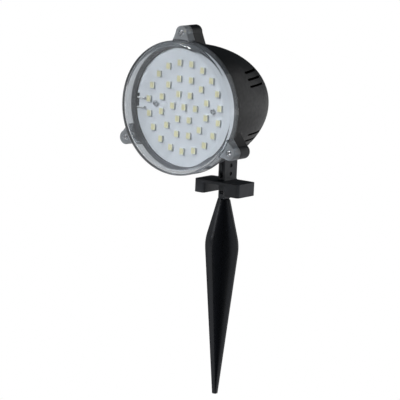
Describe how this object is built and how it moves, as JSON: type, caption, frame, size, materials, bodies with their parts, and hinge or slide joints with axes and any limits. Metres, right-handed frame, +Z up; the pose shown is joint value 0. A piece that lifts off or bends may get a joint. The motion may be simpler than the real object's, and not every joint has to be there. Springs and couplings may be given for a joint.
{
  "type": "garden floodlight on a ground stake",
  "caption": "Round LED garden floodlight with a clear screwed cover, dome housing with cooling slots, tilting neck, foot with two pads and a cross-section ground stake.",
  "frame": {"origin": "on the stake's axis at ground level, in the plane of the foot pads' underside", "axes": "+Z up along the stake's axis; the lamp faces -Y; +X to the right for someone who looks into the lamp"},
  "size_m": [0.139, 0.1399, 0.3756],
  "materials": {
    "black_plastic": "satin moulded, lightly polished",
    "stake_plastic": "satin moulded",
    "clear_plastic": "polished clear",
    "black_rubber": "matte",
    "steel_zinc": "zinc plated",
    "brass": "machined",
    "white_board": "white solder mask on aluminium",
    "led_body": "white package",
    "led_phosphor": "yellow phosphor under clear resin",
    "wire_insulation": "white PVC",
    "solder": "bright solder",
    "grey_plastic": "moulded",
    "green_board": "green solder mask",
    "ferrite": "ferrite",
    "winding_tape": "yellow tape",
    "capacitor_sleeve": "shrink sleeve",
    "chip_plastic": "epoxy",
    "white_plastic": "moulded",
    "gland_plastic": "moulded nylon",
    "dark_steel": "blackened",
    "nylon": "nylon"
  },
  "bodies": {
    "foot": {"foot_bar": "black_plastic", "stake": "stake_plastic", "pivot_pin": "dark_steel", "stop_pin": "dark_steel", "friction_washers": "nylon"},
    "head": {"rear_housing": "black_plastic", "clear_cover": "clear_plastic", "cover_gasket": "black_rubber", "cover_screws": "steel_zinc", "board_screws": "steel_zinc", "driver_screws": "steel_zinc", "cover_inserts": "brass", "board_inserts": "brass", "led_board": "white_board", "led_packages": "led_body", "led_phosphors": "led_phosphor", "lead_wires": "wire_insulation", "solder_joints": "solder", "driver_case": "grey_plastic", "driver_lid": "grey_plastic", "driver_board": "green_board", "transformer_core": "ferrite", "transformer_windings": "winding_tape", "driver_capacitors": "capacitor_sleeve", "driver_chips": "chip_plastic", "terminal_block": "white_plastic", "terminal_screws": "steel_zinc", "gland_body": "gland_plastic", "gland_seal": "black_rubber", "gland_nut": "gland_plastic", "gland_locknut": "gland_plastic"}
  },
  "joints": [
    {"name": "head_tilt", "type": "hinge", "parent": "foot", "child": "head", "pos_m": [0, 0.00405, 0.0282], "axis": [-1, 0, 0], "range_deg": [-15, 60]}
  ]
}
